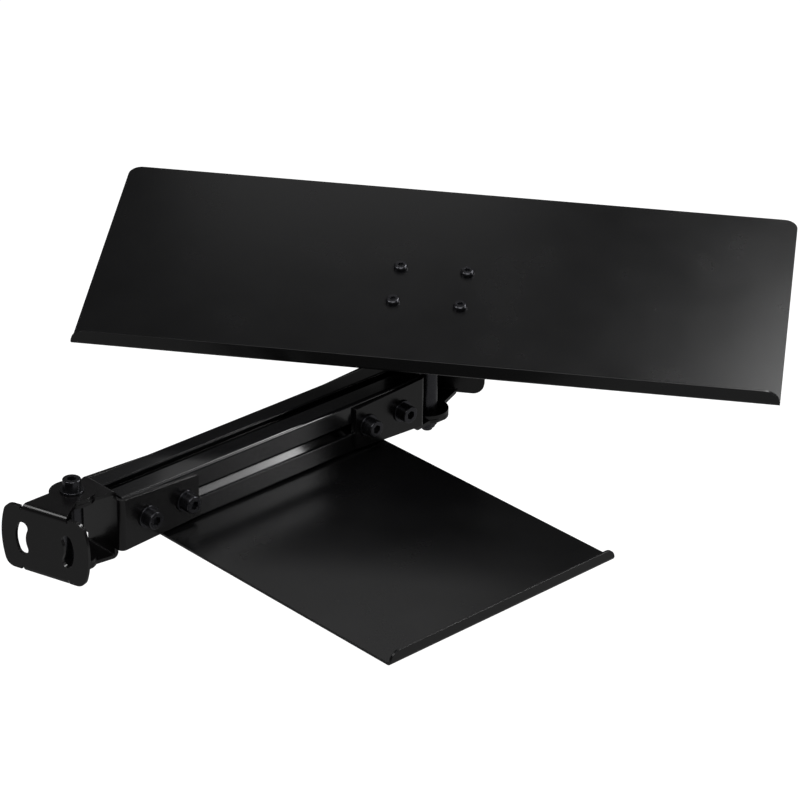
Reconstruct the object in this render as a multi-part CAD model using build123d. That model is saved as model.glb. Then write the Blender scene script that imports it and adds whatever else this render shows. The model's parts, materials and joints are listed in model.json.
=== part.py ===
from build123d import *
import math
import os

# Keyboard and mouse tray on a swivel arm. Lengths are millimetres and angles are degrees.
# The origin is the centre of the mount bracket's outer face, +Y runs along the arm, +Z is up.

# Folded sheet
bracket_sheet = 3.0
tray_sheet = 2.0
bend_radius = 1.5
running_gap = 0.2
overrun = 5.0

# Swivels, as they stand at rest
mount_turn = 17.0
tray_turn = 38.6
tray_roll = 0.7

# Swivel bracket: a slotted flange with two ears
flange_reach = 34.0
bracket_height = 53.0
flange_width = 72.0
flange_end_width = 63.0
flange_height = 49.0
flange_corner = 8.0
flange_slot_radius = 20.0
flange_slot_width = 8.5
flange_slot_angle = 24.4
swivel_fold_width = 37.0
swivel_neck_width = 23.0
ear_radius = 16.0
fold_relief = 1.4

# Arm end bracket: a web, two side plates and two ears
web_reach = 24.0
arm_fold_width = 31.0
arm_neck_width = 26.0
side_plate_length = 70.0
side_plate_root = 40.0
side_plate_tip = 33.0
side_plate_corner = 2.0
side_hole_edge = 12.0
side_hole_pitch = 34.0

# Slotted profile of the arm
profile_length = 280.0
profile_size = 40.0
profile_corner = 2.5
profile_lift = 1.5
slot_mouth = 8.2
slot_lip = 2.0
slot_edge = 0.8
slot_inner = 20.0
slot_wall = 6.5
slot_floor = 10.0
slot_depth = 12.3
core_bore = 6.8
corner_bore = 5.4

# M8 fasteners
m8_diameter = 8.0
m8_hole = 8.5
m8_thread_gap = 0.05
m8_head_diameter = 13.0
m8_head_height = 8.0
m8_socket = 6.0
m8_socket_depth = 4.0
m8_head_edge = 0.8
m8_washer_diameter = 17.0
m8_washer_hole = 8.4
m8_washer = 1.6
m8_nut_flats = 13.0
m8_nut_height = 8.0
m8_low_head_diameter = 14.0
m8_low_head_height = 4.4
m8_low_socket = 5.0
m8_low_socket_depth = 2.4
m8_low_head_edge = 2.4
pivot_screw_length = 70.0
side_screw_length = 16.0
level_screw_length = 20.0
mouse_screw_length = 12.0

# Slot nuts
slot_nut_width = 15.6
slot_nut_height = 4.3
slot_nut_length = 16.0
slot_nut_neck = 7.8
slot_nut_neck_height = 1.2

# Pivot sleeves
sleeve_diameter = 15.0
sleeve_bore = 8.4

# M6 fasteners of the keyboard tray
m6_diameter = 6.0
m6_hole = 6.6
m6_head_diameter = 10.5
m6_head_height = 3.3
m6_head_edge = 1.8
m6_socket = 4.0
m6_socket_depth = 1.8
m6_washer_diameter = 12.0
m6_washer = 1.6
m6_nut_flats = 10.0
m6_nut_height = 6.0
m6_screw_length = 14.0

# Keyboard tray and its support
deck_width = 514.0
deck_depth = 214.0
deck_corner = 10.0
deck_lip = 13.7
deck_lip_corner = 11.5
deck_tilt = 14.0
deck_rise = 80.0
deck_back = 5.0
deck_side = 7.0
support_width = 78.0
support_corner = 9.0
support_top_length = 80.0
support_hole_first = 22.0
support_hole_pitch = 40.0
support_hole_spread = 50.0

# Mouse tray
mouse_width = 212.0
mouse_reach = 235.0
mouse_corner = 4.0
mouse_lip = 10.0
mouse_lip_corner = 7.8
mouse_screw_spread = 140.0

# Places worked out from the sizes above
bend_outer = bend_radius + bracket_sheet
profile_start = web_reach + bracket_sheet + bend_radius
pivot_span = profile_length + 2 * profile_start
arm_level = -(bracket_sheet + running_gap)
profile_level = arm_level + profile_lift
mount_place = Rot(0, 0, mount_turn)
pivot_place = mount_place * Pos(0, flange_reach, 0)
arm_place = pivot_place * Rot(0, 0, -mount_turn)
far_pivot_place = arm_place * Pos(0, pivot_span, 0)
tray_place = far_pivot_place * Rot(0, 0, tray_turn)
level_place = tray_place * Rot(0, tray_roll, 0)
deck_place = level_place * Pos(deck_side, deck_back, deck_rise) * Rot(deck_tilt, 0, 0)


# A cylinder along Z from one height to another.
def rod(diameter, low, high):
    middle = (low + high) / 2
    return Pos(0, 0, middle) * Cylinder(diameter / 2, high - low)


# A box given by its lowest and highest corners.
def block(low, high):
    size = [b - a for a, b in zip(low, high)]
    middle = [(a + b) / 2 for a, b in zip(low, high)]
    return Pos(*middle) * Box(*size)


# A hexagonal bar along Z from one height to another.
def hex_bar(flats, low, high):
    outline = RegularPolygon(flats / 2, 6, major_radius=False)
    return extrude(Pos(0, 0, low) * outline, high - low)


# Outline of one ear seen from above: a fold line towards -Y that narrows to a neck, and a round end
# on the axis.
def ear_outline(fold_width, neck_width, fold_reach):
    neck_y = -math.sqrt(ear_radius**2 - (neck_width / 2) ** 2)
    taper = Polygon(
        (-fold_width / 2, -fold_reach),
        (fold_width / 2, -fold_reach),
        (neck_width / 2, neck_y),
        (-neck_width / 2, neck_y),
        align=None,
    )
    return taper + Circle(ear_radius)


# Both ears around the pivot axis, with the strip of sheet that joins them towards -Y.
def folded_ears(fold_width, neck_width, fold_reach):
    half = bracket_height / 2
    outer_depth = fold_reach + ear_radius
    outer = Plane.YZ * Pos(outer_depth / 2 - fold_reach, 0) * Rectangle(outer_depth, bracket_height)
    outer = fillet(outer.vertices().group_by(Axis.Y)[0], bend_outer)
    inner_depth = outer_depth - bracket_sheet + overrun
    inner_y = bracket_sheet - fold_reach + inner_depth / 2
    inner = Plane.YZ * Pos(inner_y, 0) * Rectangle(inner_depth, bracket_height - 2 * bracket_sheet)
    inner = fillet(inner.vertices().group_by(Axis.Y)[0], bend_radius)
    fold = extrude(outer - inner, fold_width / 2, both=True)
    outline = ear_outline(fold_width, neck_width, fold_reach)
    ears = fold & extrude(Pos(0, 0, -half) * outline, bracket_height)
    return ears - rod(m8_hole, -half - overrun, half + overrun)


# Flange with two arc slots, in the XZ plane, from its outer face forwards along +Y.
def slotted_flange():
    half = flange_height / 2
    end = flange_end_width / 2
    side = flange_width / 2
    edge = Line((-end, -half), (end, -half))
    edge += ThreePointArc((end, -half), (side, 0), (end, half))
    edge += Line((end, half), (-end, half))
    edge += ThreePointArc((-end, half), (-side, 0), (-end, -half))
    outline = make_face(edge)
    outline = fillet(outline.vertices(), flange_corner)
    for start in (-flange_slot_angle, 180 - flange_slot_angle):
        centreline = CenterArc((0, 0), flange_slot_radius, start, 2 * flange_slot_angle)
        outline -= SlotArc(centreline, flange_slot_width)
    return extrude(Plane.XZ * outline, bracket_sheet, dir=(0, 1, 0))


# Swivel bracket around its pivot axis, with the flange towards -Y.
def swivel_bracket():
    flange = Pos(0, -flange_reach, 0) * slotted_flange()
    half = bracket_height / 2
    gap = swivel_fold_width / 2 + fold_relief
    for up in (-1, 1):
        low = min(up * (half - bend_outer), up * (half + overrun))
        high = max(up * (half - bend_outer), up * (half + overrun))
        notch_low = (-gap, -flange_reach - overrun, low)
        notch_high = (gap, -flange_reach + bracket_sheet + overrun, high)
        flange -= block(notch_low, notch_high)
    ears = folded_ears(swivel_fold_width, swivel_neck_width, flange_reach)
    middle = block((-flange_width, -flange_reach, bend_outer - half), (flange_width, 0, half - bend_outer))
    return flange + (ears - middle)


# Arm end bracket around its pivot axis, with the side plates towards +Y.
def arm_bracket():
    back = web_reach + bracket_sheet
    ears = Rot(0, 0, 180) * folded_ears(arm_fold_width, arm_neck_width, back)
    outer_width = profile_size + 2 * bracket_sheet
    tip_y = web_reach + side_plate_length
    outer = Pos(0, (web_reach + tip_y) / 2) * Rectangle(outer_width, side_plate_length)
    outer = fillet(outer.vertices().group_by(Axis.Y)[0], bend_outer)
    inner = Pos(0, (back + tip_y + overrun) / 2) * Rectangle(profile_size, tip_y + overrun - back)
    inner = fillet(inner.vertices().group_by(Axis.Y)[0], bend_radius)
    channel = extrude(outer - inner, bracket_height / 2, both=True)
    side = Polygon(
        (web_reach, profile_lift - side_plate_root / 2),
        (tip_y, profile_lift - side_plate_tip / 2),
        (tip_y, profile_lift + side_plate_tip / 2),
        (web_reach, profile_lift + side_plate_root / 2),
        align=None,
    )
    side = fillet(side.vertices().group_by(Axis.X)[-1], side_plate_corner)
    channel = channel & extrude(Plane.YZ * side, outer_width / 2, both=True)
    for hole_y in side_hole_places():
        hole = Cylinder(m8_hole / 2, outer_width + overrun)
        channel -= Pos(0, hole_y, profile_lift) * Rot(0, 90, 0) * hole
    return channel + ears


# Distances from the pivot axis to the side screws, along the arm.
def side_hole_places():
    last = web_reach + side_plate_length - side_hole_edge
    return (last - side_hole_pitch, last)


# Section of the slotted profile, and the solid along +Y.
def arm_profile():
    section = RectangleRounded(profile_size, profile_size, profile_corner)
    half = profile_size / 2
    wall_y = half - slot_lip - slot_wall
    slot = Polygon(
        (-slot_mouth / 2 - slot_edge, half),
        (-slot_mouth / 2 - slot_edge, half + overrun),
        (slot_mouth / 2 + slot_edge, half + overrun),
        (slot_mouth / 2 + slot_edge, half),
        (slot_mouth / 2, half - slot_edge),
        (slot_mouth / 2, half - slot_lip),
        (slot_inner / 2, half - slot_lip),
        (slot_inner / 2, wall_y),
        (slot_floor / 2, half - slot_depth),
        (-slot_floor / 2, half - slot_depth),
        (-slot_inner / 2, wall_y),
        (-slot_inner / 2, half - slot_lip),
        (-slot_mouth / 2, half - slot_lip),
        (-slot_mouth / 2, half - slot_edge),
        align=None,
    )
    corner_place = (slot_inner / 2 + half) / 2
    for turn in range(4):
        section -= Rot(0, 0, 90 * turn) * slot
        section -= Rot(0, 0, 90 * turn) * Pos(corner_place, corner_place) * Rectangle(corner_bore, corner_bore)
    section -= Circle(core_bore / 2)
    bar = extrude(Plane.XZ * section, profile_length, dir=(0, 1, 0))
    return Pos(0, profile_start, profile_level) * bar


# Socket head screw along Z: the head stands on height zero and the shank hangs below it.
def socket_screw(length):
    head = rod(m8_head_diameter, 0, m8_head_height)
    head = fillet(head.edges().group_by(Axis.Z)[-1], m8_head_edge)
    head -= hex_bar(m8_socket, m8_head_height - m8_socket_depth, m8_head_height + overrun)
    return head + rod(m8_diameter, -length, 0)


# Low round head screw along Z, with its shank below height zero.
def low_screw(diameter, length, head_diameter, head_height, edge, socket, socket_depth):
    head = rod(head_diameter, 0, head_height)
    head = fillet(head.edges().group_by(Axis.Z)[-1], edge)
    head -= hex_bar(socket, head_height - socket_depth, head_height + overrun)
    return head + rod(diameter, -length, 0)


def m8_low_screw(length):
    head = (m8_low_head_diameter, m8_low_head_height, m8_low_head_edge)
    return low_screw(m8_diameter, length, *head, m8_low_socket, m8_low_socket_depth)


def m6_low_screw():
    head = (m6_head_diameter, m6_head_height, m6_head_edge)
    return low_screw(m6_diameter, m6_screw_length, *head, m6_socket, m6_socket_depth)


# Flat washer standing on height zero.
def washer(diameter, hole, thickness):
    return rod(diameter, 0, thickness) - rod(hole, -overrun, thickness + overrun)


def m8_flat_washer():
    return washer(m8_washer_diameter, m8_washer_hole, m8_washer)


# Hexagonal lock nut standing on height zero, with a plain collar on top.
def lock_nut(diameter, flats, height):
    collar = height / 4
    bevel = (flats - diameter) / 8
    nut = hex_bar(flats, 0, height - collar)
    round_part = rod(flats / math.cos(math.pi / 6), 0, height - collar)
    nut = nut & chamfer(round_part.edges(), bevel)
    dome = rod(flats - bevel, height - collar, height)
    dome = fillet(dome.edges().group_by(Axis.Z)[-1], collar / 2)
    return nut + dome - rod(diameter + 2 * m8_thread_gap, -overrun, height + overrun)


# Slot nut: its shoulder is at height zero, the body hangs below and the neck stands in the mouth.
def slot_nut():
    length = slot_nut_length / 2
    width = slot_nut_width / 2
    neck = slot_nut_neck / 2
    nut = block((-width, -length, -slot_nut_height), (width, length, 0))
    nut += block((-neck, -length, 0), (neck, length, slot_nut_neck_height))
    return nut - rod(m8_diameter + 2 * m8_thread_gap, -slot_nut_height - overrun, overrun)


# Pieces of one vertical pivot, around its own axis.
def pivot_sleeve():
    low = bracket_sheet - bracket_height / 2
    high = arm_level + bracket_height / 2 - bracket_sheet - running_gap
    return rod(sleeve_diameter, low, high) - rod(sleeve_bore, low - overrun, high + overrun)


def pivot_screw():
    return Pos(0, 0, bracket_height / 2 + m8_washer) * socket_screw(pivot_screw_length)


def pivot_low_end():
    return arm_level - bracket_height / 2 - running_gap


def pivot_washers():
    upper = Pos(0, 0, bracket_height / 2) * m8_flat_washer()
    lower = Pos(0, 0, pivot_low_end() - m8_washer) * m8_flat_washer()
    return [upper, lower]


def pivot_nut():
    nut = lock_nut(m8_diameter, m8_nut_flats, m8_nut_height)
    return Pos(0, 0, pivot_low_end() - m8_washer) * Rot(180, 0, 0) * nut


# Places of the four side screws of one arm end bracket, with +Z pointing out of the side plate.
def side_screw_places():
    face = profile_size / 2 + bracket_sheet
    places = []
    for side in (-1, 1):
        for hole_y in side_hole_places():
            places.append(Pos(side * face, hole_y, profile_level) * Rot(0, side * 90, 0))
    return places


def side_screws():
    screw = socket_screw(side_screw_length)
    return [place * Pos(0, 0, m8_washer) * screw for place in side_screw_places()]


def side_washers():
    return [place * m8_flat_washer() for place in side_screw_places()]


def side_slot_nuts():
    depth = bracket_sheet + slot_lip
    return [place * Pos(0, 0, -depth) * slot_nut() for place in side_screw_places()]


# Tray with a lip folded up along its front edge. The top face is at height zero and the front is -Y.
def lipped_tray(width, front_y, back_y, lip, back_corner, lip_corner):
    inner = bend_radius
    outer = bend_radius + tray_sheet
    depth = back_y - front_y
    middle = (front_y + back_y) / 2
    top = lip - tray_sheet
    full = Plane.YZ * Pos(middle, (top - tray_sheet) / 2) * Rectangle(depth, lip)
    full = fillet(full.vertices().group_by(Axis.Y)[0].group_by(Axis.Z)[0], outer)
    open_low = (front_y + tray_sheet, 0)
    open_size = (depth + overrun, lip + overrun)
    hollow = Pos(open_low[0] + open_size[0] / 2, open_size[1] / 2) * Rectangle(*open_size)
    hollow = Plane.YZ * fillet(hollow.vertices().group_by(Axis.X)[0].group_by(Axis.Y)[0], inner)
    tray = extrude(full - hollow, width / 2, both=True)
    back_edges = tray.edges().filter_by(Axis.Z).group_by(Axis.Y)[-1]
    tray = fillet(back_edges, back_corner)
    lip_place = Pos(0, front_y + outer / 2, top - lip_corner)
    block = lip_corner + overrun
    for side in (-1, 1):
        waste = Pos(side * block / 2, 0, block / 2) * Box(block, outer + overrun, block)
        waste -= Rot(90, 0, 0) * Cylinder(lip_corner, outer + overrun * 2)
        tray -= lip_place * Pos(side * (width / 2 - lip_corner), 0, 0) * waste
    return tray


# Distances of the keyboard tray's screws, in the deck's own plane from the deck's centre.
def deck_screw_places():
    corner = support_corner_point()
    places = []
    for row in (0, 1):
        along = support_hole_first + row * support_hole_pitch
        for side in (-1, 1):
            across = side * support_hole_spread / 2 - deck_side
            places.append((across, corner - along))
    return places


# Where the support bracket's back face meets the tray's underside, along the deck from its centre.
def support_corner_point():
    back_y = flange_reach + running_gap + bracket_sheet - deck_back
    tilt = math.radians(deck_tilt)
    return (back_y - tray_sheet * math.sin(tilt)) / math.cos(tilt)


def keyboard_tray():
    half = deck_depth / 2
    tray = lipped_tray(deck_width, -half, half, deck_lip, deck_corner, deck_lip_corner)
    for x, y in deck_screw_places():
        tray -= Pos(x, y, 0) * rod(m6_hole, -tray_sheet - overrun, overrun)
    return tray


# Support bracket around the tray-end pivot axis: an upright plate behind the flange, folded
# forwards over the pivot at the deck's slope.
def support_bracket():
    tilt = math.radians(deck_tilt)
    slope = (math.cos(tilt), math.sin(tilt))
    normal = (-math.sin(tilt), math.cos(tilt))
    inner_y = flange_reach + running_gap
    outer_y = inner_y + bracket_sheet
    foot_z = -bracket_height / 2
    top_z = deck_rise + (outer_y - deck_back) * math.tan(tilt) - tray_sheet / math.cos(tilt)
    under_z = top_z - (outer_y - inner_y) * math.tan(tilt) - bracket_sheet / math.cos(tilt)
    tip = (outer_y - support_top_length * slope[0], top_z - support_top_length * slope[1])
    tip_under = (tip[0] - bracket_sheet * normal[0], tip[1] - bracket_sheet * normal[1])
    section = Polygon(
        (outer_y, foot_z),
        (outer_y, top_z),
        tip,
        tip_under,
        (inner_y, under_z),
        (inner_y, foot_z),
        align=None,
    )
    section = fillet(section.vertices().sort_by_distance((outer_y, top_z, 0))[0], bend_outer)
    section = fillet(section.vertices().sort_by_distance((inner_y, under_z, 0))[0], bend_radius)
    bracket = extrude(Plane.YZ * section, support_width / 2, both=True)
    foot_edges = bracket.edges().filter_by(Axis.Y).group_by(Axis.Z)[0]
    bracket = fillet(foot_edges, support_corner)
    tip_axis = Axis((0, 0, 0), (0, normal[0], normal[1]))
    bracket = fillet(bracket.edges().filter_by(tip_axis).group_by(Axis.Y)[0], support_corner)
    for side in (-1, 1):
        hole = Rot(90, 0, 0) * Cylinder(m8_hole / 2, 2 * (bracket_sheet + overrun))
        bracket -= Pos(side * flange_slot_radius, outer_y, 0) * hole
    in_deck = Pos(deck_side, deck_back, deck_rise) * Rot(deck_tilt, 0, 0)
    for x, y in deck_screw_places():
        depth = tray_sheet + bracket_sheet + overrun
        bracket -= in_deck * Pos(x, y, 0) * rod(m6_hole, -depth, overrun)
    return bracket


# Level bolts through the swivel bracket's arc slots, with +Z pointing from the head to the pivot.
def level_places():
    face = flange_reach - bracket_sheet - running_gap
    return [Pos(side * flange_slot_radius, face, 0) * Rot(90, 0, 0) for side in (-1, 1)]


def level_bolts():
    bolt = m8_low_screw(level_screw_length)
    return [place * Pos(0, 0, m8_washer) * bolt for place in level_places()]


def level_back():
    return -(2 * bracket_sheet + 2 * running_gap)


def level_washers():
    washers = []
    for place in level_places():
        washers.append(place * m8_flat_washer())
        washers.append(place * Pos(0, 0, level_back() - m8_washer) * m8_flat_washer())
    return washers


def level_nuts():
    nut = Rot(180, 0, 0) * lock_nut(m8_diameter, m8_nut_flats, m8_nut_height)
    return [place * Pos(0, 0, level_back() - m8_washer) * nut for place in level_places()]


# Screws, washers and nuts of the keyboard tray, in the deck's own frame.
def deck_screws():
    return [Pos(x, y, 0) * m6_low_screw() for x, y in deck_screw_places()]


def deck_washers():
    low = -(tray_sheet + bracket_sheet + m6_washer)
    flat = washer(m6_washer_diameter, m6_hole, m6_washer)
    return [Pos(x, y, low) * flat for x, y in deck_screw_places()]


def deck_nuts():
    low = -(tray_sheet + bracket_sheet + m6_washer)
    nut = Rot(180, 0, 0) * lock_nut(m6_diameter, m6_nut_flats, m6_nut_height)
    return [Pos(x, y, low) * nut for x, y in deck_screw_places()]


# Mouse tray under the profile. Its lip is on the near side, away from the profile.
def mouse_level():
    return profile_level - profile_size / 2 - running_gap


def mouse_screw_places():
    centre = pivot_span / 2
    return [centre + side * mouse_screw_spread / 2 for side in (-1, 1)]


def mouse_tray():
    back = profile_size / 2
    front = profile_size / 2 + mouse_reach
    tray = lipped_tray(mouse_width, -front, back, mouse_lip, mouse_corner, mouse_lip_corner)
    tray = Pos(0, pivot_span / 2, mouse_level()) * Rot(0, 0, 90) * tray
    for y in mouse_screw_places():
        low = mouse_level() - tray_sheet - overrun
        tray -= Pos(0, y, 0) * rod(m8_hole, low, mouse_level() + overrun)
    return tray


def mouse_screws():
    screw = m8_low_screw(mouse_screw_length)
    level = mouse_level() - tray_sheet - m8_washer
    return [Pos(0, y, level) * Rot(180, 0, 0) * screw for y in mouse_screw_places()]


def mouse_washers():
    level = mouse_level() - tray_sheet - m8_washer
    return [Pos(0, y, level) * m8_flat_washer() for y in mouse_screw_places()]


def mouse_slot_nuts():
    level = profile_level - profile_size / 2 + slot_lip + running_gap
    return [Pos(0, y, level) * Rot(180, 0, 0) * slot_nut() for y in mouse_screw_places()]


# Writes one node, as one solid or as a group of separate solids, put at its place.
def write(name, shape, place):
    pieces = shape if isinstance(shape, list) else [shape]
    solids = []
    for piece in pieces:
        solids.extend((place * piece).solids())
    whole = solids[0] if len(solids) == 1 else Compound(children=solids)
    export_step(whole, os.path.join("parts", name + ".step"))


os.makedirs("parts", exist_ok=True)

# Mount end
write("mount_bracket", swivel_bracket(), pivot_place)
write("mount_pivot_sleeve", pivot_sleeve(), pivot_place)
write("mount_pivot_screw", pivot_screw(), pivot_place)
write("mount_pivot_washers", pivot_washers(), pivot_place)
write("mount_pivot_nut", pivot_nut(), pivot_place)

# Arm
write("arm_profile", arm_profile(), arm_place)
arm_ends = {"mount_end": arm_place, "tray_end": far_pivot_place * Rot(0, 0, 180)}
for end_name, end_place in arm_ends.items():
    write(end_name + "_bracket", arm_bracket(), end_place * Pos(0, 0, arm_level))
    write(end_name + "_screws", side_screws(), end_place)
    write(end_name + "_washers", side_washers(), end_place)
    write(end_name + "_slot_nuts", side_slot_nuts(), end_place)

# Tray end swivel
write("tray_swivel_bracket", swivel_bracket(), tray_place * Rot(0, 0, 180))
write("tray_pivot_sleeve", pivot_sleeve(), tray_place)
write("tray_pivot_screw", pivot_screw(), tray_place)
write("tray_pivot_washers", pivot_washers(), tray_place)
write("tray_pivot_nut", pivot_nut(), tray_place)

# Keyboard tray
write("tray_support_bracket", support_bracket(), level_place)
write("level_bolts", level_bolts(), level_place)
write("level_washers", level_washers(), level_place)
write("level_nuts", level_nuts(), level_place)
write("keyboard_tray", keyboard_tray(), deck_place)
write("keyboard_tray_screws", deck_screws(), deck_place)
write("keyboard_tray_washers", deck_washers(), deck_place)
write("keyboard_tray_nuts", deck_nuts(), deck_place)

# Mouse tray
write("mouse_tray", mouse_tray(), arm_place)
write("mouse_tray_screws", mouse_screws(), arm_place)
write("mouse_tray_washers", mouse_washers(), arm_place)
write("mouse_tray_slot_nuts", mouse_slot_nuts(), arm_place)
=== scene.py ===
import json
import math

import bpy
from mathutils import Matrix, Quaternion, Vector

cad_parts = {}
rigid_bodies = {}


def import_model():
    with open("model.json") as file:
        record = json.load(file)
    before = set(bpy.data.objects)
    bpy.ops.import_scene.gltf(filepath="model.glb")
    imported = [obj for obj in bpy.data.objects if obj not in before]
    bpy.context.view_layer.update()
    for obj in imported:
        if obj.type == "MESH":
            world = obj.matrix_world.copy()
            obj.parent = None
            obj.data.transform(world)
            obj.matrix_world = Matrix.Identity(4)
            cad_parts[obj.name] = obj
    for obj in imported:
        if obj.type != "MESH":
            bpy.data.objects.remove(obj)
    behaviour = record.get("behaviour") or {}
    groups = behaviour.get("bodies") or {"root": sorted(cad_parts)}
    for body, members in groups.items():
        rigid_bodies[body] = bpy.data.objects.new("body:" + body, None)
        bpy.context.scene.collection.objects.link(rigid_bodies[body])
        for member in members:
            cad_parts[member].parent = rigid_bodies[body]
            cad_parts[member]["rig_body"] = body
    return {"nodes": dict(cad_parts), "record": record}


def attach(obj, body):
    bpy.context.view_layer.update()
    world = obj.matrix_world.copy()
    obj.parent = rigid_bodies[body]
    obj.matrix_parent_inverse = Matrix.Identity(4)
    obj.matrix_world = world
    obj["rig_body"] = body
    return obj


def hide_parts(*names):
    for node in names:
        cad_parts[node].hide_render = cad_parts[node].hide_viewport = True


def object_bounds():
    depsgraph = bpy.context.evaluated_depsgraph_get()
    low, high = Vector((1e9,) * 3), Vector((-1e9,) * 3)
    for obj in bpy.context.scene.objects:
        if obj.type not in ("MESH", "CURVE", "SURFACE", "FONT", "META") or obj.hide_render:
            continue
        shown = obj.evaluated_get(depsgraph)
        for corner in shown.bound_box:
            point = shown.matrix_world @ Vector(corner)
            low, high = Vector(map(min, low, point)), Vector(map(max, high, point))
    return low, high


# keyboard and mouse tray on a swivel arm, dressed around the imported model, all in metres

mm = 0.001
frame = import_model()
cadLow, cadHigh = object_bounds()
nodes = frame["nodes"]
bodyOf = {name: piece["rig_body"] for name, piece in nodes.items()}
slotOf = {row["node"]: row["material_slot"] for row in frame["record"]["subparts"]}


# small helpers

def pick(piece):
    for item in list(bpy.context.selected_objects):
        item.select_set(False)
    piece.select_set(True)
    bpy.context.view_layer.objects.active = piece


def applyModifier(piece, kind, **settings):
    pick(piece)
    modifier = piece.modifiers.new(kind.title(), kind)
    for key, value in settings.items():
        setattr(modifier, key, value)
    bpy.ops.object.modifier_apply(modifier=modifier.name)


def hexToLinear(text):
    channels = [int(text[i:i + 2], 16) / 255 for i in (1, 3, 5)]
    linear = [c / 12.92 if c <= 0.04045 else ((c + 0.055) / 1.055) ** 2.4 for c in channels]
    return (*linear, 1.0)


def addNode(tree, kind, settings=None, inputs=None):
    node = tree.nodes.new(kind)
    for key, value in (settings or {}).items():
        setattr(node, key, value)
    for key, value in (inputs or {}).items():
        if isinstance(value, bpy.types.NodeSocket):
            tree.links.new(value, node.inputs[key])
        else:
            node.inputs[key].default_value = value
    return node


def newMaterial(name):
    material = bpy.data.materials.new(name)
    material.use_nodes = True
    tree = material.node_tree
    return material, tree, tree.nodes["Principled BSDF"]


# materials

white = hexToLinear("#ffffff")
noiseLow, noiseHigh = 0.3, 0.7  # nearly all of a noise pattern lies between these
mixDark, mixLight, mixResult = 6, 7, 2  # the colour sockets of a mix node

# how each pattern breaks up within its spots
peelNoise = {"Detail": 3.0, "Roughness": 0.55}
cloudNoise = {"Detail": 4.0}
dieLineNoise = {"Detail": 2.0, "Roughness": 0.7}
smearNoise = {"Detail": 5.0}
turningNoise = {"Detail": 2.0}


def patternScale(size):
    return 1 / (size * mm)  # from the real size of a pattern's spots in millimetres


def layOn(tree, shader, tone, relief, look):
    # tone moves the colour from dark to light and the roughness between its two limits,
    # relief is the height of the surface
    tint = addNode(tree, "ShaderNodeMix", {"data_type": "RGBA"},
                   {"Factor": tone, mixDark: hexToLinear(look["dark"]),
                    mixLight: hexToLinear(look["light"])})
    tree.links.new(tint.outputs[mixResult], shader.inputs["Base Color"])
    rough = addNode(tree, "ShaderNodeMapRange", None,
                    {"Value": tone, "From Min": noiseLow, "From Max": noiseHigh,
                     "To Min": look["rough"][0], "To Max": look["rough"][1]})
    tree.links.new(rough.outputs["Result"], shader.inputs["Roughness"])
    bump = addNode(tree, "ShaderNodeBump", None,
                   {"Strength": look["bump"], "Distance": look["depth"] * mm, "Height": relief})
    tree.links.new(bump.outputs["Normal"], shader.inputs["Normal"])
    shader.inputs["Metallic"].default_value = look["metallic"]


def powderCoat(name, look):
    # powder coat sprayed on steel and cured: a fine orange peel that breaks up the highlights,
    # with a few duller clouds where the film is thicker
    material, tree, shader = newMaterial(name)
    place = addNode(tree, "ShaderNodeTexCoord").outputs["Object"]
    peel = addNode(tree, "ShaderNodeTexNoise", None,
                   {"Vector": place, "Scale": patternScale(look["peel"]), **peelNoise})
    cloud = addNode(tree, "ShaderNodeTexNoise", None,
                    {"Vector": place, "Scale": patternScale(look["cloud"]), **cloudNoise})
    layOn(tree, shader, cloud.outputs["Fac"], peel.outputs["Fac"], look)
    shader.inputs["IOR"].default_value = look["ior"]
    return material


def anodisedProfile(name, look):
    # black anodised aluminium extrusion: satin, with die lines drawn out along its length,
    # coarser than most real ones so that they show, under the clear hard film of the finish
    material, tree, shader = newMaterial(name)
    place = addNode(tree, "ShaderNodeTexCoord").outputs["Object"]
    drawn = addNode(tree, "ShaderNodeMapping", None,
                    {"Vector": place, "Scale": (1.0, look["lineStretch"], 1.0)})
    lines = addNode(tree, "ShaderNodeTexNoise", None,
                    {"Vector": drawn.outputs["Vector"], "Scale": patternScale(look["lineWidth"]),
                     **dieLineNoise})
    layOn(tree, shader, lines.outputs["Fac"], lines.outputs["Fac"], look)
    shader.inputs["Coat Weight"].default_value = look["film"]
    shader.inputs["Coat Roughness"].default_value = look["filmRough"]
    shader.inputs["Coat IOR"].default_value = look["filmIor"]
    return material


def turnedSteel(name, look):
    # machined steel, blackened or plated: tight turning grain and handling smears
    material, tree, shader = newMaterial(name)
    place = addNode(tree, "ShaderNodeTexCoord").outputs["Object"]
    smear = addNode(tree, "ShaderNodeTexNoise", None,
                    {"Vector": place, "Scale": patternScale(look["smear"]), **smearNoise})
    turning = addNode(tree, "ShaderNodeTexNoise", None,
                      {"Vector": place, "Scale": patternScale(look["turning"]), **turningNoise})
    layOn(tree, shader, smear.outputs["Fac"], turning.outputs["Fac"], look)
    return material


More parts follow.
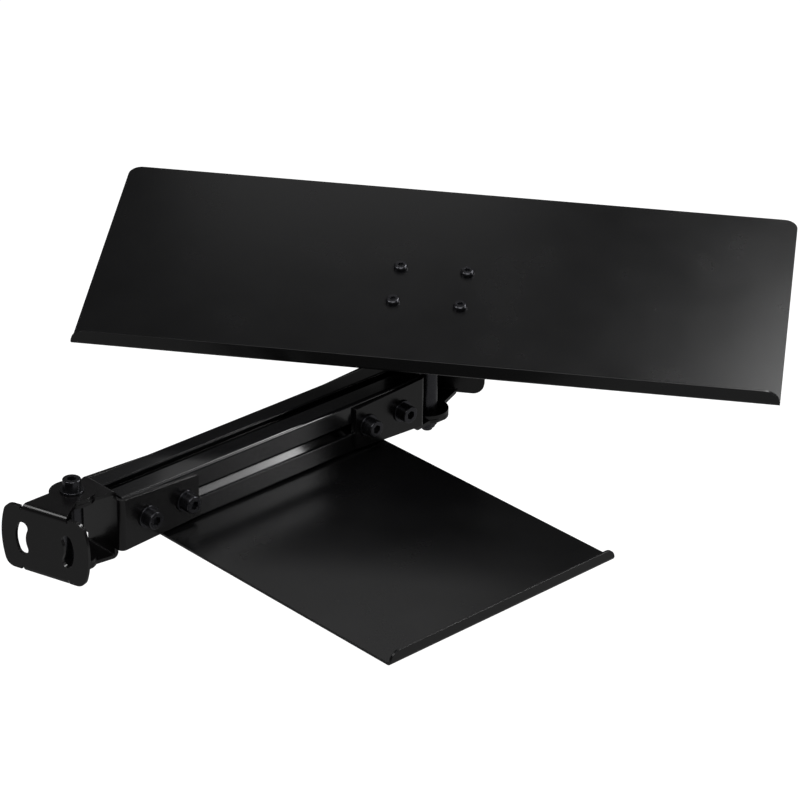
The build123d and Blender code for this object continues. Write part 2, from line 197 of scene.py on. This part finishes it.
# peel, cloud, smear, turning, line width and depth are in millimetres,
# and rough holds the least and the most roughness
finishes = {
    "coated_tray": powderCoat("satin black powder coated sheet steel", {
        "dark": "#0a0a0b", "light": "#0e0e0f", "rough": (0.24, 0.28), "metallic": 0.0, "ior": 1.5,
        "peel": 0.7, "cloud": 45.0, "bump": 0.22, "depth": 0.03}),
    "coated_bracket": powderCoat("semi gloss black powder coated steel plate", {
        "dark": "#0d0c0d", "light": "#121112", "rough": (0.21, 0.27), "metallic": 0.0, "ior": 1.5,
        "peel": 0.6, "cloud": 18.0, "bump": 0.25, "depth": 0.03}),
    "anodised_profile": anodisedProfile("black anodised aluminium extrusion", {
        "dark": "#111113", "light": "#171719", "rough": (0.16, 0.25), "metallic": 0.4,
        "lineWidth": 0.35, "lineStretch": 0.02, "bump": 0.08, "depth": 0.02,
        "film": 0.55, "filmRough": 0.1, "filmIor": 1.7}),
    "black_fasteners": turnedSteel("black oxide screw steel", {
        "dark": "#3c3c3f", "light": "#505054", "rough": (0.19, 0.31), "metallic": 0.9,
        "smear": 4.0, "turning": 0.15, "bump": 0.12, "depth": 0.02}),
    "plated_sleeve": turnedSteel("black zinc plated turned sleeve", {
        "dark": "#3c3c3f", "light": "#505054", "rough": (0.20, 0.32), "metallic": 0.85,
        "smear": 6.0, "turning": 0.2, "bump": 0.12, "depth": 0.02}),
    "slot_nuts": turnedSteel("bright zinc plated slot nut", {
        "dark": "#9a9b9c", "light": "#b7b8b8", "rough": (0.26, 0.38), "metallic": 1.0,
        "smear": 5.0, "turning": 0.2, "bump": 0.12, "depth": 0.02}),
}
print("materials ready:", len(finishes))


# pieces: each CAD shape is copied, its loose triangles are merged and its cut edges are broken
# with a small round, as a coated or machined edge has

# edge rounds in millimetres, the last one for every piece that isn't named
edgeRounds = {
    "keyboard_tray": 0.7, "mouse_tray": 0.7,
    "mount_bracket": 0.55, "tray_swivel_bracket": 0.55, "tray_support_bracket": 0.55,
    "mount_end_bracket": 0.5, "tray_end_bracket": 0.5,
    "arm_profile": 0.55,
}
fastenerRound = 0.4

edgeWork = {
    "merge": 0.002,  # mm, corners nearer than this are one
    "flat": 0.6,  # degrees, faces that differ by less are joined
    "cut": 40,  # degrees, edges sharper than this get their round
    "smooth": 28,  # degrees, faces that differ by less are shaded as one
    "segments": 3,
    "faceWeight": 100,  # how far large faces keep their own shading
}


def softenedCopy(name):
    source = nodes[name]
    piece = source.copy()
    piece.data = source.data.copy()
    piece.name = name + "_finished"
    bpy.context.scene.collection.objects.link(piece)
    piece.parent = None
    piece.matrix_world = Matrix.Identity(4)
    for key in list(piece.keys()):
        del piece[key]
    pick(piece)
    bpy.ops.object.mode_set(mode="EDIT")
    bpy.ops.mesh.select_all(action="SELECT")
    bpy.ops.mesh.remove_doubles(threshold=edgeWork["merge"] * mm)
    bpy.ops.mesh.dissolve_limited(angle_limit=math.radians(edgeWork["flat"]))
    bpy.ops.mesh.select_all(action="DESELECT")
    bpy.ops.object.mode_set(mode="OBJECT")
    applyModifier(piece, "BEVEL", width=edgeRounds.get(name, fastenerRound) * mm,
                  segments=edgeWork["segments"], limit_method="ANGLE",
                  angle_limit=math.radians(edgeWork["cut"]), use_clamp_overlap=True,
                  harden_normals=False)
    bpy.ops.object.shade_smooth_by_angle(angle=math.radians(edgeWork["smooth"]))
    applyModifier(piece, "WEIGHTED_NORMAL", mode="FACE_AREA", weight=edgeWork["faceWeight"],
                  keep_sharp=True)
    piece.data.materials.clear()
    piece.data.materials.append(finishes[slotOf[name]])
    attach(piece, bodyOf[name])
    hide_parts(name)


for nodeName in sorted(nodes):
    softenedCopy(nodeName)
print("pieces finished:", len(nodes))


# floor, surround, lights and camera

paper = {
    "under": 200,  # mm below the part's lowest point
    "width": 30.0,  # m
    "colour": "#868686", "rough": 0.9,
    "glow": 0.97,  # where the camera sees it, 1 is white
    "mirrored": 0.12,  # the share of the glow that reflections show
}
surround = {
    "light": 0.03,  # its strength as a lamp
    "seen": 1.0,  # where the camera sees it, 1 is white
    "mirrored": 0.03,
}


def whereSeen(tree, mirroredShare):
    # 1 to the camera and through anything clear, and only a share of that in reflections
    path = addNode(tree, "ShaderNodeLightPath")
    mirrored = addNode(tree, "ShaderNodeMath", {"operation": "MULTIPLY"},
                       {0: path.outputs["Is Glossy Ray"], 1: mirroredShare})
    through = addNode(tree, "ShaderNodeMath", {"operation": "ADD"},
                      {0: mirrored.outputs[0], 1: path.outputs["Is Transmission Ray"]})
    seen = addNode(tree, "ShaderNodeMath", {"operation": "ADD"},
                   {0: path.outputs["Is Camera Ray"], 1: through.outputs[0]})
    return seen.outputs[0]


def makeFloor():
    # mid grey paper that glows white where it is seen: the glow drowns the part's shadow
    below = cadLow.z - paper["under"] * mm
    bpy.ops.mesh.primitive_plane_add(size=paper["width"], location=(0, 0, below))
    floor = bpy.context.active_object
    floor.name = "studioFloor"
    material, tree, shader = newMaterial("studio paper")
    shader.inputs["Base Color"].default_value = hexToLinear(paper["colour"])
    shader.inputs["Roughness"].default_value = paper["rough"]
    lift = addNode(tree, "ShaderNodeMath", {"operation": "MULTIPLY"},
                   {0: whereSeen(tree, paper["mirrored"]), 1: paper["glow"]})
    glow = addNode(tree, "ShaderNodeEmission", None, {"Color": white, "Strength": lift.outputs[0]})
    both = addNode(tree, "ShaderNodeAddShader", None, {0: shader.outputs[0], 1: glow.outputs[0]})
    # from below the paper lets the view through, so that the underside can be looked at
    side = addNode(tree, "ShaderNodeNewGeometry")
    clear = addNode(tree, "ShaderNodeBsdfTransparent")
    sheet = addNode(tree, "ShaderNodeMixShader", None,
                    {0: side.outputs["Backfacing"], 1: both.outputs[0], 2: clear.outputs[0]})
    tree.links.new(sheet.outputs[0], tree.nodes["Material Output"].inputs["Surface"])
    floor.data.materials.append(material)


def makeWorld():
    # white where it is seen or shines through, dim as a light
    world = bpy.data.worlds.new("studio")
    bpy.context.scene.world = world
    world.use_nodes = True
    tree = world.node_tree
    back = tree.nodes["Background"]
    back.inputs["Color"].default_value = white
    strength = addNode(tree, "ShaderNodeMapRange", None,
                       {"Value": whereSeen(tree, surround["mirrored"]),
                        "To Min": surround["light"], "To Max": surround["seen"]})
    tree.links.new(strength.outputs["Result"], back.inputs["Strength"])


# wide lamps, each with its direction away from the middle of the part, its distance and its
# size in metres
softboxes = {
    "key box": {"away": (0.5, -0.45, 0.85), "distance": 2.3,
                "size": (1.5, 1.2), "spin": 0, "watts": 14},
    "left box": {"away": (-0.3, -0.6, 0.75), "distance": 2.0,
                 "size": (0.8, 0.6), "spin": 0, "watts": 8},
    "top box": {"away": (0.0, 0.0, 1.0), "distance": 2.0,
                "size": (1.0, 1.0), "spin": 0, "watts": 6},
    "edge strip": {"away": (0.63, 0.61, 0.48), "distance": 1.6,
                   "size": (0.6, 0.25), "spin": 47, "watts": 3.4},
    "high back strip": {"away": (0.07, 0.61, 0.79), "distance": 1.6,
                        "size": (0.6, 0.25), "spin": 0, "watts": 4},
    "low right strip": {"away": (0.73, 0.61, 0.35), "distance": 1.8,
                        "size": (0.25, 1.3), "spin": 0, "watts": 1.6},
}

# small lamps that a tray mirrors, each with its place, its aim and its size in metres
accents = {
    "tray box": {"place": (0.0, 0.97, 1.03), "aim": (0.30, 0.47, 0.05),
                 "size": (0.3, 0.3), "spin": 0, "watts": 1.5},
    "low back box": {"place": (-0.52, 0.74, 0.61), "aim": (0.26, 0.0, -0.03),
                     "size": (0.35, 0.3), "spin": 0, "watts": 0.13},
}


def softbox(name, place, aim, look):
    # a lamp at its place, turned to its aim and spun about its own axis
    lamp = bpy.data.lights.new(name, "AREA")
    lamp.shape = "RECTANGLE"
    lamp.size, lamp.size_y = look["size"]
    lamp.energy = look["watts"]
    holder = bpy.data.objects.new(name, lamp)
    bpy.context.scene.collection.objects.link(holder)
    holder.location = place
    holder.rotation_mode = "QUATERNION"
    facing = (aim - place).to_track_quat("-Z", "Y")
    holder.rotation_quaternion = facing @ Quaternion((0, 0, 1), math.radians(look["spin"]))


def makeLamps():
    middle = (cadLow + cadHigh) / 2
    for name, look in softboxes.items():
        away = Vector(look["away"]).normalized() * look["distance"]
        softbox(name, middle + away, middle, look)
    for name, look in accents.items():
        softbox(name, Vector(look["place"]), Vector(look["aim"]), look)


camera = {
    "focal": 153.99, "sensor": 36.0,  # mm
    "place": (1640.78, -1221.10, 1153.33),  # mm
    "azimuth": 46.58, "pitch": 27.07, "roll": 0.88,  # degrees
    "farthest": 100.0,  # m
}


def makeCamera():
    lens = bpy.data.cameras.new("view")
    lens.lens = camera["focal"]
    lens.sensor_width = camera["sensor"]
    lens.clip_end = camera["farthest"]
    holder = bpy.data.objects.new("view", lens)
    bpy.context.scene.collection.objects.link(holder)
    azimuth, pitch = math.radians(camera["azimuth"]), math.radians(camera["pitch"])
    level = math.cos(pitch)
    forward = Vector((-math.sin(azimuth) * level, math.cos(azimuth) * level, -math.sin(pitch)))
    right = Vector((math.cos(azimuth), math.sin(azimuth), 0))
    up = right.cross(forward)
    roll = math.radians(camera["roll"])
    rolledRight = right * math.cos(roll) + up * math.sin(roll)
    rolledUp = up * math.cos(roll) - right * math.sin(roll)
    turn = Matrix((rolledRight, rolledUp, -forward)).transposed()
    holder.matrix_world = Matrix.Translation(Vector(camera["place"]) * mm) @ turn.to_4x4()
    bpy.context.scene.camera = holder


makeFloor()
makeWorld()
makeLamps()
makeCamera()
bpy.context.scene.view_settings.view_transform = "Standard"
print("floor, surround, lamps and camera ready:", len(softboxes) + len(accents), "lamps")
